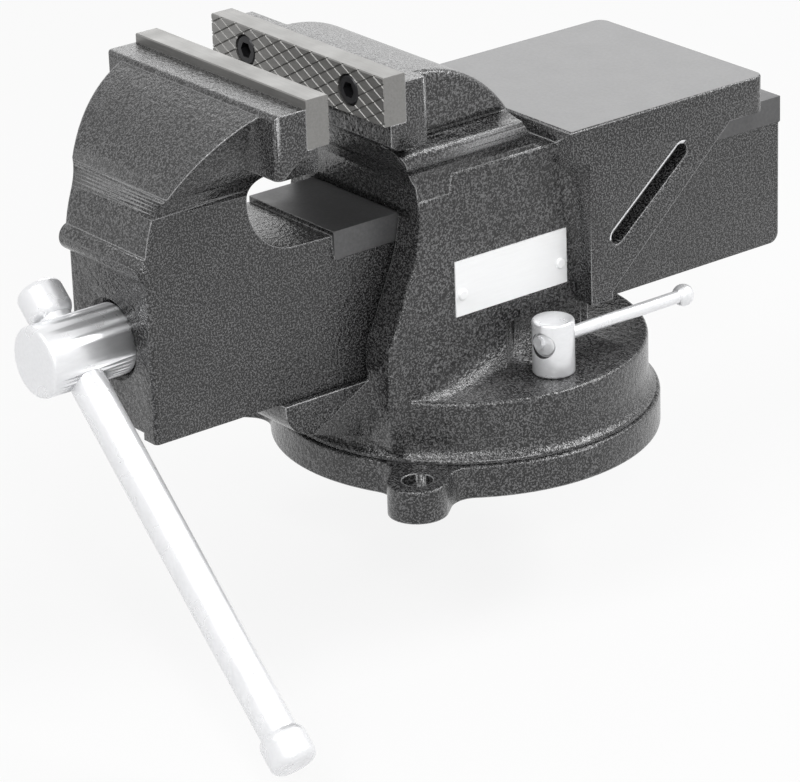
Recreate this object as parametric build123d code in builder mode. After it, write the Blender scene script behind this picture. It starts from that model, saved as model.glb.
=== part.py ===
from build123d import *
import math
import os

os.makedirs("parts", exist_ok=True)

# Frame: the origin is on the swivel axis at the underside of the base, +Z up.
# The spindle points to -Y, the anvil to +Y, and the nameplate is on the +X side. Millimetres.

# Driving dimensions
JAW_WIDTH = 150.0
JAW_PLATE_HEIGHT = 26.8
JAW_PLATE_THICK = 14.3
JAW_TOP = 244.6
JAW_GAP = 35.4
FIXED_FACE_Y = -107.7
JAW_SCREW_X = 45.0
JAW_SCREW_Z = 231.0
TAPPED_RADIUS = 5.05
SPINDLE_Z = 112.6

# Heights of the base and the turntable
BASE_RADIUS = 109.5
BASE_THICK = 18.5
LUG_CIRCLE = 128.0
LUG_RADIUS = 16.5
LUG_BOLT_RADIUS = 8.5
LUG_WAIST_RADIUS = 14.0
LUG_ANGLES = (-140.4, -50.4, 129.6)
TABLE_RADIUS = 103.0
TABLE_BOTTOM = 18.8
TABLE_TOP = 52.5
SHELL_RADIUS = 96.0
PLATFORM_RADIUS = 95.4
PLATFORM_TOP = 40.7
HUB_RADIUS = 14.0
HUB_TOP = 47.0
RUNNING_FIT = 0.06

# The two clamp bolts that ride in the ring slot
LOCK_X = 78.5
LOCK_BOLT_RADIUS = 6.0
LOCK_NUT_RADIUS = 11.7
LOCK_NUT_HEIGHT = 31.2
LOCK_NUT_DISH = 0.6
LOCK_BAR_RADIUS = 3.6
LOCK_BAR_Z = 72.0
LOCK_BAR_REACH = 88.0
LOCK_KNOB_Y = 94.0
LOCK_KNOB_RADIUS = 6.2
LOCK_KNOB_BORE = 7.5

# The sliding channel and its tunnel
SLIDE_HALF = 36.0
FLANGE_HALF = 37.5
SLIDE_BOTTOM = 63.4
FLANGE_BOTTOM = 137.0
FLANGE_TOP = 152.0
SLIDE_REAR_Y = 205.0
SLIDE_FRONT_Y = -233.8
TUNNEL_HALF = 38.3
TUNNEL_FLOOR = 62.9
TUNNEL_TOP = 152.8
WALL_HALF = 57.5
CHEEK_FRONT_Y = -97.4

# The anvil and its side walls
ANVIL_HALF = 70.0
ANVIL_FRONT_Y = 22.0
ANVIL_REAR_Y = 163.8
ANVIL_TOP = 182.5
ANVIL_THICK = 21.0

# The spindle and its sliding handle
SPINDLE_HEAD_RADIUS = 19.5
SPINDLE_HEAD_FRONT_Y = -282.7
SPINDLE_SCREW_RADIUS = 12.0
SPINDLE_NECK_RADIUS = 13.0
SPINDLE_END_Y = 150.0
HANDLE_Y = -259.3
HANDLE_RADIUS = 10.0
HANDLE_TILT = 42.8
HANDLE_KNOB_RADIUS = 12.7
HANDLE_UPPER_REACH = 30.4
HANDLE_LOWER_REACH = 240.0
FRONT_WALL_BACK_Y = -205.0
PIN_Y = -178.5

plate_back_fixed = FIXED_FACE_Y + JAW_PLATE_THICK
plate_bottom = JAW_TOP - JAW_PLATE_HEIGHT
moving_face = FIXED_FACE_Y - JAW_GAP
plate_back_moving = moving_face - JAW_PLATE_THICK
shelf_z = JAW_TOP - 4.9
spindle_axis = Axis((0, 0, SPINDLE_Z), (0, 1, 0))


def polar(radius, degrees):
    """A point on a circle round the swivel axis."""
    angle = math.radians(degrees)
    return radius * math.cos(angle), radius * math.sin(angle)


def save(part, name):
    """Label a finished piece and write its file."""
    part.label = name
    export_step(part, f"parts/{name}.step")


# Swivel base: a flanged disc with three bolt lugs and a raised ring that holds the tee slot
SLOT_HALF = 6.8
TEE_HALF = 12.0
TEE_FLOOR = 22.0
TEE_LIP = 33.5
TEE_ENTRY = 30.0
RECESS_INNER = 42.0
RECESS_OUTER = 88.0
RECESS_DEPTH = 12.0

with BuildPart() as swivel_base:
    with BuildSketch() as outline:
        Circle(BASE_RADIUS)
        for lug_angle in LUG_ANGLES:
            with Locations(polar(LUG_CIRCLE, lug_angle)):
                Circle(LUG_RADIUS)
            with Locations(Location((*polar(LUG_CIRCLE - LUG_RADIUS, lug_angle), 0), lug_angle)):
                Rectangle(2 * LUG_RADIUS, 2 * LUG_RADIUS)
        waists = [v for v in outline.vertices() if abs(Vector(v.X, v.Y).length - BASE_RADIUS) < 1]
        fillet(waists, radius=LUG_WAIST_RADIUS)
    extrude(amount=BASE_THICK)
    top_rim = swivel_base.faces().sort_by(Axis.Z)[-1].edges()
    fillet(top_rim, radius=1.5)
    with BuildSketch(Plane.XZ) as ring_section:
        with BuildLine():
            Polyline(
                (0, 4), (56, 4), (56, BASE_THICK - 2), (62, PLATFORM_TOP),
                (PLATFORM_RADIUS, PLATFORM_TOP), (PLATFORM_RADIUS, 4), (0, 4),
            )
        make_face()
    revolve(axis=Axis.Z)
    with BuildSketch(Plane.XZ):
        with Locations((LOCK_X, (TEE_FLOOR + TEE_LIP) / 2)):
            Rectangle(2 * TEE_HALF, TEE_LIP - TEE_FLOOR)
        with Locations((LOCK_X, PLATFORM_TOP)):
            Rectangle(2 * SLOT_HALF, 2 * (PLATFORM_TOP - TEE_LIP))
    revolve(axis=Axis.Z, mode=Mode.SUBTRACT)
    with BuildSketch(Plane.XY.offset(TEE_LIP)):
        with Locations((0, LOCK_X)):
            Rectangle(TEE_ENTRY, 2 * TEE_HALF)
    extrude(amount=PLATFORM_TOP - TEE_LIP, mode=Mode.SUBTRACT)
    with BuildSketch(Plane.XZ):
        with Locations(((RECESS_INNER + RECESS_OUTER) / 2, RECESS_DEPTH / 2)):
            Rectangle(RECESS_OUTER - RECESS_INNER, RECESS_DEPTH)
    revolve(axis=Axis.Z, mode=Mode.SUBTRACT)
    Cylinder(HUB_RADIUS, HUB_TOP, align=(Align.CENTER, Align.CENTER, Align.MIN))
    with Locations([(*polar(LUG_CIRCLE, a), 0) for a in LUG_ANGLES]):
        Cylinder(LUG_BOLT_RADIUS, 3 * BASE_THICK, mode=Mode.SUBTRACT)
save(swivel_base.part, "swivel_base")

# Head of the fixed jaw: a block that carries the plate on a ledge
HEAD_FRONT_Y = -103.4
HEAD_BACK_Y = -78.0
HEAD_BOTTOM = 203.0
HEAD_EDGE_RADIUS = 3.5

with BuildPart() as fixed_block:
    with BuildSketch(Plane.YZ):
        Polygon(
            (HEAD_BACK_Y, HEAD_BOTTOM), (HEAD_FRONT_Y + 4, HEAD_BOTTOM), (HEAD_FRONT_Y, HEAD_BOTTOM + 3),
            (HEAD_FRONT_Y, plate_bottom), (plate_back_fixed, plate_bottom), (plate_back_fixed, shelf_z),
            (HEAD_BACK_Y, shelf_z),
            align=None,
        )
    extrude(amount=JAW_WIDTH / 2, both=True)
    back_edges = fixed_block.edges().group_by(Axis.Y)[-1].sort_by(Axis.Z)[1:]
    fillet(back_edges, radius=HEAD_EDGE_RADIUS)

# Rolled back of the fixed jaw: a dome as wide as the cheeks, with an undercut along its foot
DOME_RADIUS = 75.6
DOME_CENTRE = (-73.7, 159.8)
DOME_FRONT_Y = HEAD_BACK_Y - 4
DOME_CUT = 187.0
DOME_BOTTOM = 201.7


def dome_height(y):
    """Height of the rolled back at a place along Y."""
    return DOME_CENTRE[1] + math.sqrt(DOME_RADIUS ** 2 - (y - DOME_CENTRE[0]) ** 2)


def dome_place(z):
    """Place along Y where the rolled back comes down to a height."""
    return DOME_CENTRE[0] + math.sqrt(DOME_RADIUS ** 2 - (z - DOME_CENTRE[1]) ** 2)


with BuildPart() as fixed_dome:
    with BuildSketch(Plane.YZ):
        with BuildLine():
            roll_start = (DOME_FRONT_Y, dome_height(DOME_FRONT_Y))
            roll_end = (dome_place(DOME_CUT), DOME_CUT)
            ThreePointArc(roll_start, (-45, dome_height(-45)), roll_end)
            Polyline(roll_end, (DOME_FRONT_Y, DOME_CUT), roll_start)
        make_face()
    extrude(amount=WALL_HALF, both=True)
    fillet(fixed_dome.edges().filter_by(GeomType.CIRCLE), radius=4)
    split(bisect_by=Plane.XY.offset(DOME_BOTTOM), keep=Keep.TOP)

# Neck of the fixed jaw: a cove, a bead and an undercut under the head, cut to the side profile
NECK_HALF = WALL_HALF - 1
UNDERCUT_HALF = WALL_HALF - 3
NECK_TOP = 206.0
CHEEK_TOP = 173.6

with BuildPart() as fixed_neck:
    with BuildSketch(Plane.XZ):
        with BuildLine():
            Polyline((0, 158), (NECK_HALF, 158), (NECK_HALF, 173))
            ThreePointArc((NECK_HALF, 173), (58.2, 180.5), (63.5, 185))
            ThreePointArc((63.5, 185), (67.5, 190), (65.5, 195.5))
            ThreePointArc((65.5, 195.5), (59.8, 197), (UNDERCUT_HALF, 199.5))
            Polyline((UNDERCUT_HALF, 199.5), (UNDERCUT_HALF, NECK_TOP), (0, NECK_TOP), (0, 158))
        make_face()
        mirror(about=Plane.YZ)
    extrude(amount=120, both=True)
    with BuildSketch(Plane.YZ):
        with BuildLine():
            dome_foot = (dome_place(DOME_BOTTOM), DOME_BOTTOM)
            Polyline((-72.5, 158), (-74, 171), (-79.5, 180), (-86.5, 186), (-92.5, 197.5), (-98.5, 203.2))
            Polyline((-98.5, 203.2), (-98.5, NECK_TOP), (-15, NECK_TOP), dome_foot)
            ThreePointArc(dome_foot, (-4.6, 187.5), (12, CHEEK_TOP))
            Polyline((12, CHEEK_TOP), (12, 158), (-72.5, 158))
        make_face()
    extrude(amount=JAW_WIDTH, both=True, mode=Mode.INTERSECT)

# Cheeks either side of the slide, with their curved front and rounded edges
CHEEK_REAR_Y = 50.0
CHEEK_EDGE_RADIUS = 1.8
LEG_PROUD = 1.2

with BuildPart() as cheeks:
    with BuildSketch(Plane.YZ):
        with BuildLine():
            Polyline((-76.5, 46), (-76.5, 27), (CHEEK_FRONT_Y, 27), (CHEEK_FRONT_Y, 78))
            ThreePointArc((CHEEK_FRONT_Y, 78), (-96, 86), (-92, 93.4))
            Line((-92, 93.4), (-80.4, 120.2))
            ThreePointArc((-80.4, 120.2), (-73.6, 142), (-72.5, 163))
            Polyline((-72.5, 163), (-52, 163), (-50.5, CHEEK_TOP), (CHEEK_REAR_Y, CHEEK_TOP))
            Polyline((CHEEK_REAR_Y, CHEEK_TOP), (CHEEK_REAR_Y, 46), (-76.5, 46))
        make_face()
    extrude(amount=WALL_HALF, both=True)
    outer_edges = cheeks.edges().filter_by_position(Axis.Y, -98, 20).filter_by_position(Axis.Z, 48, 180)
    rounded = outer_edges.group_by(Axis.X)[0] + outer_edges.group_by(Axis.X)[-1]
    fillet(rounded, radius=CHEEK_EDGE_RADIUS)

# Leg of each cheek: a strip along the curved front that stands a little proud of the cheek's side
with BuildPart() as leg_strips:
    with BuildSketch(Plane.YZ.offset(WALL_HALF - 5)):
        with BuildLine():
            Polyline((-76.5, 97), (-77, 27), (CHEEK_FRONT_Y, 27), (CHEEK_FRONT_Y, 78))
            ThreePointArc((CHEEK_FRONT_Y, 78), (-96, 86), (-92, 93.4))
            Line((-92, 93.4), (-85.4, 108.6))
            Line((-85.4, 108.6), (-76.5, 97))
        make_face()
    extrude(amount=5 + LEG_PROUD)
    front_edges = leg_strips.edges().group_by(Axis.X)[-1].filter_by_position(Axis.Y, -98, -83)
    fillet(front_edges.filter_by_position(Axis.Z, 48, 104), radius=CHEEK_EDGE_RADIUS)
    mirror(about=Plane.YZ)

# Anvil slab
with BuildPart() as anvil:
    with BuildSketch(Plane.XY.offset(ANVIL_TOP - ANVIL_THICK)) as slab:
        with Locations((0, (ANVIL_FRONT_Y + ANVIL_REAR_Y) / 2)):
            Rectangle(2 * ANVIL_HALF, ANVIL_REAR_Y - ANVIL_FRONT_Y)
        fillet(slab.vertices().group_by(Axis.Y)[-1], radius=7)
    extrude(amount=ANVIL_THICK)
    fillet(anvil.faces().sort_by(Axis.Z)[-1].edges(), radius=1.2)

# Vise body: turntable, cheeks, tongue, walls and anvil, with the tunnel for the slide
SCOOP_TOP = 79.0
SCOOP_X = 70.0
SCOOP_Y = 22.0
WALL_SLOT_CENTRE = (78.3, 133.2)
WALL_SLOT_TILT = 39.2
WALL_SLOT_LENGTH = 69.0
WALL_SLOT_WIDTH = 9.3
HOLLOW_INNER = 42.0
HOLLOW_TOP = 41.0
NUT_BOLT_Y = 28.0
NUT_BOLT_BORE = 9.8

with BuildPart() as vise_body:
    with BuildSketch(Plane.XZ):
        with BuildLine():
            Polyline((0, TABLE_BOTTOM), (107.3, TABLE_BOTTOM), (107.3, 20.5))
            ThreePointArc((107.3, 20.5), (104.4, 23.6), (TABLE_RADIUS + 0.5, 28))
            Polyline((TABLE_RADIUS + 0.5, 28), (TABLE_RADIUS, 28.8), (TABLE_RADIUS, TABLE_TOP - 2))
            ThreePointArc(
                (TABLE_RADIUS, TABLE_TOP - 2),
                (TABLE_RADIUS - 0.6, TABLE_TOP - 0.6),
                (TABLE_RADIUS - 2, TABLE_TOP),
            )
            Polyline((TABLE_RADIUS - 2, TABLE_TOP), (0, TABLE_TOP), (0, TABLE_BOTTOM))
        make_face()
    revolve(axis=Axis.Z)
    add(cheeks.part)
    add(leg_strips.part)
    # tongue under the front of the slide
    with BuildSketch(Plane.YZ):
        with BuildLine():
            Polyline((-95, TUNNEL_FLOOR), (-153, TUNNEL_FLOOR))
            ThreePointArc((-153, TUNNEL_FLOOR), (-150.6, 52), (-145, 46))
            Spline((-145, 46), (-124.8, 38.9), (-95, 29), tangents=[(10, -4.5), (10, -3.6)])
            Line((-95, 29), (-95, TUNNEL_FLOOR))
        make_face()
    extrude(amount=TUNNEL_HALF + 1.7, both=True)
    # side walls that carry the anvil, each with its slanted slot
    with BuildSketch(Plane.YZ.offset(WALL_HALF + 2)) as wall_profile:
        with BuildLine():
            Polyline((35, 163), (35, SCOOP_TOP), (50.2, SCOOP_TOP), (50.2, 83.3), (137, 161.4), (137, 163))
            Line((137, 163), (35, 163))
        make_face()
        with Locations(Location((*WALL_SLOT_CENTRE, 0), WALL_SLOT_TILT)):
            SlotOverall(WALL_SLOT_LENGTH, WALL_SLOT_WIDTH, mode=Mode.SUBTRACT)
    extrude(amount=ANVIL_HALF - WALL_HALF - 2)
    mirror(about=Plane.YZ)
    add(anvil.part)
    # front ends of the side walls, joined to the cheeks
    with BuildSketch(Plane.XY.offset(SCOOP_TOP)) as returns:
        with Locations((WALL_HALF, 42.5), (-WALL_HALF, 42.5)):
            Rectangle(24, 15)
    extrude(amount=84)
    # fixed jaw
    add(fixed_neck.part)
    add(fixed_dome.part)
    add(fixed_block.part)
    # tunnel for the slide
    with BuildSketch(Plane.XZ.offset(-220)):
        with Locations((0, (TUNNEL_FLOOR + TUNNEL_TOP) / 2)):
            Rectangle(2 * TUNNEL_HALF, TUNNEL_TOP - TUNNEL_FLOOR)
    extrude(amount=440, mode=Mode.SUBTRACT)
    # scoops beside the two clamp nuts
    with BuildSketch(Plane.XY.offset(TABLE_TOP)) as scoops:
        with Locations((SCOOP_X, SCOOP_Y), (-SCOOP_X, SCOOP_Y)):
            RectangleRounded(44, 78, 16)
    extrude(amount=SCOOP_TOP - TABLE_TOP, mode=Mode.SUBTRACT)
    # hollow underside that covers the base's ring
    with BuildSketch(Plane.XZ):
        with BuildLine():
            Polyline(
                (HOLLOW_INNER, TABLE_BOTTOM - 1), (HOLLOW_INNER, HOLLOW_TOP), (SHELL_RADIUS, HOLLOW_TOP),
                (SHELL_RADIUS, TABLE_BOTTOM - 1), (HOLLOW_INNER, TABLE_BOTTOM - 1),
            )
        make_face()
    revolve(axis=Axis.Z, mode=Mode.SUBTRACT)
    with BuildSketch(Plane.XY.offset(TABLE_BOTTOM - 1)):
        Circle(HOLLOW_INNER + 0.5)
    extrude(amount=3, mode=Mode.SUBTRACT)
    with BuildSketch(Plane.XY.offset(TABLE_BOTTOM)):
        Circle(HUB_RADIUS + RUNNING_FIT)
    extrude(amount=HUB_TOP + 1 - TABLE_BOTTOM, mode=Mode.SUBTRACT)
    # holes for the clamp bolts and the nut's bolts
    with Locations((LOCK_X, 0, 47), (-LOCK_X, 0, 47)):
        Cylinder(LOCK_BOLT_RADIUS + 0.5, 14, mode=Mode.SUBTRACT)
    with Locations((0, NUT_BOLT_Y, 50), (0, -NUT_BOLT_Y, 50)):
        Cylinder(TAPPED_RADIUS, 40, mode=Mode.SUBTRACT)
    with Locations((0, NUT_BOLT_Y, 31), (0, -NUT_BOLT_Y, 31)):
        Cylinder(NUT_BOLT_BORE, 26, mode=Mode.SUBTRACT)
    # tapped holes behind the jaw plate
    with Locations(
        *[Location((x, plate_back_fixed, JAW_SCREW_Z), (-90, 0, 0)) for x in (-JAW_SCREW_X, JAW_SCREW_X)]
    ):
        Cylinder(TAPPED_RADIUS, 14.5, align=(Align.CENTER, Align.CENTER, Align.MIN), mode=Mode.SUBTRACT)
save(vise_body.part, "vise_body")

# Nameplate on the right cheek, left blank, and its two rivets
PLATE_WIDTH = 77.8
PLATE_HEIGHT = 31.6
PLATE_THICK = 0.8
PLATE_CENTRE = (-11.6, 107.7)
RIVET_SPACING = 68.7
RIVET_DROP = -3.7
RIVET_RADIUS = 1.6

with BuildPart() as nameplate:
    with BuildSketch(Plane.YZ.offset(WALL_HALF)):
        with Locations(PLATE_CENTRE):
            Rectangle(PLATE_WIDTH, PLATE_HEIGHT)
        with Locations((PLATE_CENTRE[0], PLATE_CENTRE[1] + RIVET_DROP)):
            with GridLocations(RIVET_SPACING, 1, 2, 1):
                Circle(RIVET_RADIUS + 0.05, mode=Mode.SUBTRACT)
    extrude(amount=PLATE_THICK)
save(nameplate.part, "nameplate")

with BuildPart() as rivets:
    with BuildSketch(Plane.YZ.offset(WALL_HALF)):
        with Locations((PLATE_CENTRE[0], PLATE_CENTRE[1] + RIVET_DROP)):
            with GridLocations(RIVET_SPACING, 1, 2, 1):
                Circle(RIVET_RADIUS)
    extrude(amount=PLATE_THICK)
    with BuildSketch(Plane.YZ.offset(WALL_HALF + PLATE_THICK)):
        with Locations((PLATE_CENTRE[0], PLATE_CENTRE[1] + RIVET_DROP)):
            with GridLocations(RIVET_SPACING, 1, 2, 1):
                Circle(2 * RIVET_RADIUS)
    extrude(amount=1.4)
    fillet(rivets.faces().sort_by(Axis.X)[-2:].edges(), radius=1.1)
save(rivets.part, "nameplate_rivets")

# Jaw plates, each with two counterbored screw holes
SCREW_RADIUS = 5.0
SCREW_HEAD_RADIUS = 8.0
SCREW_HEAD_HEIGHT = 10.0
COUNTERBORE_RADIUS = 8.8
COUNTERBORE_DEPTH = 10.3

# Serration of the gripping faces: two crossing families of vee grooves
GROOVE_ANGLE = 28.0
GROOVE_PITCH = 13.35
GROOVE_HALF_WIDTH = 0.5
GROOVE_DEPTH = 0.7
GROOVE_LENGTH = 64.0
GROOVE_COUNT = 16
CROSSING_Z = 244.0

with BuildPart() as vee_groove:
    with BuildSketch(Plane.YZ):
        Polygon(
            (-GROOVE_HALF_WIDTH, 0), (0, -GROOVE_DEPTH), (GROOVE_HALF_WIDTH, 0), (GROOVE_HALF_WIDTH, 0.5),
            (-GROOVE_HALF_WIDTH, 0.5),
            align=None,
        )
    extrude(amount=GROOVE_LENGTH / 2, both=True)
plate_middle = JAW_TOP - JAW_PLATE_HEIGHT / 2
groove_shift = (CROSSING_Z - plate_middle) / math.tan(math.radians(GROOVE_ANGLE))


def groove_places(slope):
    """Middles of one family of grooves on a plate's face, level with the plate's middle."""
    first = -slope * groove_shift % GROOVE_PITCH - GROOVE_COUNT / 2 * GROOVE_PITCH
    return [
        Location((first + step * GROOVE_PITCH, plate_middle, 0), slope * GROOVE_ANGLE)
        for step in range(GROOVE_COUNT + 1)
    ]


def jaw_plate(face_y, side, name):
    """A hardened plate whose gripping face is at face_y and looks to side times +Y."""
    face_plane = Plane((0, face_y, 0), x_dir=(side * -1, 0, 0), z_dir=(0, side, 0))
    with BuildPart() as plate:
        with BuildSketch(face_plane.offset(-JAW_PLATE_THICK)):
            with Locations((0, JAW_TOP - JAW_PLATE_HEIGHT / 2)):
                Rectangle(JAW_WIDTH, JAW_PLATE_HEIGHT)
        extrude(amount=JAW_PLATE_THICK)
        chamfer(plate.edges().filter_by(Axis.X), length=0.6)
        with Locations(face_plane):
            for slope in (1, -1):
                with Locations(*groove_places(slope)):
                    add(vee_groove.part, mode=Mode.SUBTRACT)
            with Locations((-JAW_SCREW_X, JAW_SCREW_Z), (JAW_SCREW_X, JAW_SCREW_Z)):
                CounterBoreHole(SCREW_RADIUS + 0.5, COUNTERBORE_RADIUS, COUNTERBORE_DEPTH)
    save(plate.part, name)


def jaw_screws(face_y, side, reach, name):
    """The two socket screws that hold a plate, from its face to reach below the counterbore."""
    face_plane = Plane((0, face_y, 0), x_dir=(side * -1, 0, 0), z_dir=(0, side, 0))
    seat_plane = face_plane.offset(-COUNTERBORE_DEPTH)
    spots = [(-JAW_SCREW_X, JAW_SCREW_Z), (JAW_SCREW_X, JAW_SCREW_Z)]
    with BuildPart() as screws:
        with BuildSketch(seat_plane):
            with Locations(spots):
                Circle(SCREW_HEAD_RADIUS)
        extrude(amount=SCREW_HEAD_HEIGHT)
        chamfer(screws.edges().group_by(Axis.Y)[-1 if side > 0 else 0], length=0.8)
        with BuildSketch(seat_plane):
            with Locations(spots):
                Circle(SCREW_RADIUS)
        extrude(amount=-reach)
        with BuildSketch(seat_plane.offset(SCREW_HEAD_HEIGHT)):
            with Locations(spots):
                RegularPolygon(4.0, 6, major_radius=False)
        extrude(amount=-5, mode=Mode.SUBTRACT)
    save(screws.part, name)


jaw_plate(FIXED_FACE_Y, -1, "fixed_jaw_plate")
jaw_screws(FIXED_FACE_Y, -1, 18, "fixed_jaw_screws")
jaw_plate(moving_face, 1, "movable_jaw_plate")
jaw_screws(moving_face, 1, 18, "movable_jaw_screws")

# Spindle nut, bolted to the floor of the tunnel inside the hollow slide
NUT_HALF = 30.0
NUT_FOOT_HALF = 22.0
NUT_FOOT_THICK = 11.0

with BuildPart() as spindle_nut:
    with BuildSketch(Plane.XY.offset(TUNNEL_FLOOR)) as foot:
        Rectangle(2 * NUT_FOOT_HALF, 84)
        fillet(foot.vertices(), radius=5)
    extrude(amount=NUT_FOOT_THICK)
    with BuildSketch(Plane.XZ.offset(-NUT_HALF)):
        with Locations((0, SPINDLE_Z)):
            Circle(NUT_FOOT_HALF - 0.5)
        with BuildLine():
            Line((-20, TUNNEL_FLOOR + 5), (20, TUNNEL_FLOOR + 5))
            ThreePointArc((20, TUNNEL_FLOOR + 5), (17.5, 86), (20.5, 106))
            Line((20.5, 106), (-20.5, 106))
            ThreePointArc((-20.5, 106), (-17.5, 86), (-20, TUNNEL_FLOOR + 5))
        make_face()
    extrude(amount=2 * NUT_HALF)
    with BuildSketch(Plane.XZ.offset(-NUT_HALF)):
        with Locations((0, SPINDLE_Z)):
            Circle(SPINDLE_SCREW_RADIUS + RUNNING_FIT)
    extrude(amount=2 * NUT_HALF, mode=Mode.SUBTRACT)
    with BuildSketch(Plane.XY.offset(TUNNEL_FLOOR)):
        with Locations((0, NUT_BOLT_Y), (0, -NUT_BOLT_Y)):
            Circle(TAPPED_RADIUS)
    extrude(amount=16, mode=Mode.SUBTRACT)
save(spindle_nut.part, "spindle_nut")

with BuildPart() as nut_bolts:
    with BuildSketch(Plane.XY.offset(34)):
        with Locations((0, NUT_BOLT_Y), (0, -NUT_BOLT_Y)):
            RegularPolygon(8, 6, major_radius=False)
    extrude(amount=10)
    with BuildSketch(Plane.XY.offset(44)):
        with Locations((0, NUT_BOLT_Y), (0, -NUT_BOLT_Y)):
            Circle(SCREW_RADIUS)
    extrude(amount=33)
save(nut_bolts.part, "nut_bolts")

# Clamp bolts: square heads that slide in the ring slot, one under each clamp nut
with BuildPart() as lock_bolts:
    with BuildSketch(Plane.XY.offset(TEE_LIP - 0.4)) as tee_heads:
        with Locations((LOCK_X, 0), (-LOCK_X, 0)):
            Rectangle(22, 22)
    extrude(amount=-8)
    with BuildSketch(Plane.XY.offset(TEE_LIP - 0.4)):
        with Locations((LOCK_X, 0), (-LOCK_X, 0)):
            Circle(LOCK_BOLT_RADIUS)
    extrude(amount=32)
save(lock_bolts.part, "lock_bolts")

# Movable jaw: a hollow slide, a domed front with a horizontal rib, and a flared head
HEAD_BLOCK_FRONT_Y = -177.0
HEAD_BLOCK_REAR_Y = -151.0
HEAD_BLOCK_BOTTOM = 205.0
FLANGE_FRONT_Y = -115.0
CHANNEL_HALF = 26.0
CHANNEL_TOP = 136.0
FRONT_EDGE_RADIUS = 2.5
SLIDE_CORNER_RADIUS = 6.0
DOME_FOOT = (-234.2, 167.5)
DOME_TOP = (-177.0, 237.0)

with BuildPart() as front_block:
    with BuildSketch(Plane.XZ):
        with BuildLine():
            Polyline((0, SLIDE_BOTTOM), (SLIDE_HALF, SLIDE_BOTTOM), (SLIDE_HALF, 184.5))
            ThreePointArc((SLIDE_HALF, 184.5), (37.8, 192.6), (43, 199))
            Polyline((43, 199), (62.5, 239.6), (62.5, 242), (0, 242), (0, SLIDE_BOTTOM))
        make_face()
        mirror(about=Plane.YZ)
    extrude(amount=250, both=True)
    with BuildSketch(Plane.YZ):
        with BuildLine():
            Polyline((SLIDE_FRONT_Y, SLIDE_BOTTOM), (SLIDE_FRONT_Y, 153))
            ThreePointArc((SLIDE_FRONT_Y, 153), (-239.2, 160.5), DOME_FOOT)
            ThreePointArc(DOME_FOOT, (-210.5, 215.6), DOME_TOP)
            Polyline(DOME_TOP, (-160, 237), (-160, 208), (HEAD_BLOCK_REAR_Y, 208), (HEAD_BLOCK_REAR_Y, 197))
            ThreePointArc((HEAD_BLOCK_REAR_Y, 197), (-154.3, 194.8), (-158.3, 194.4))
            ThreePointArc((-158.3, 194.4), (-166.6, 190), (-169.1, 182.5))
            ThreePointArc((-169.1, 182.5), (-166.5, 168.3), (-158, 156.9))
            ThreePointArc((-158, 156.9), (-150.5, 152.2), (-140.7, 150))
            Line((-140.7, 150), (-117.2, 149.3))
            ThreePointArc((-117.2, 149.3), (-111, 150), (-108, 152))
            Polyline((-108, 152), (-100, 152), (-100, SLIDE_BOTTOM), (SLIDE_FRONT_Y, SLIDE_BOTTOM))
        make_face()
    extrude(amount=JAW_WIDTH / 2, both=True, mode=Mode.INTERSECT)
    front_corners = front_block.edges().filter_by(Axis.Z).group_by(Axis.Y)[0]
    fillet(front_corners, radius=FRONT_EDGE_RADIUS)

with BuildPart() as movable_head:
    with BuildSketch(Plane.YZ):
        Polygon(
            (HEAD_BLOCK_FRONT_Y, HEAD_BLOCK_BOTTOM), (HEAD_BLOCK_FRONT_Y, shelf_z),
            (plate_back_moving, shelf_z), (plate_back_moving, plate_bottom),
            (HEAD_BLOCK_REAR_Y, plate_bottom), (HEAD_BLOCK_REAR_Y, HEAD_BLOCK_BOTTOM),
            align=None,
        )
    extrude(amount=JAW_WIDTH / 2, both=True)
    front_edges = movable_head.edges().group_by(Axis.Y)[0].sort_by(Axis.Z)[1:]
    fillet(front_edges, radius=HEAD_EDGE_RADIUS)

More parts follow.
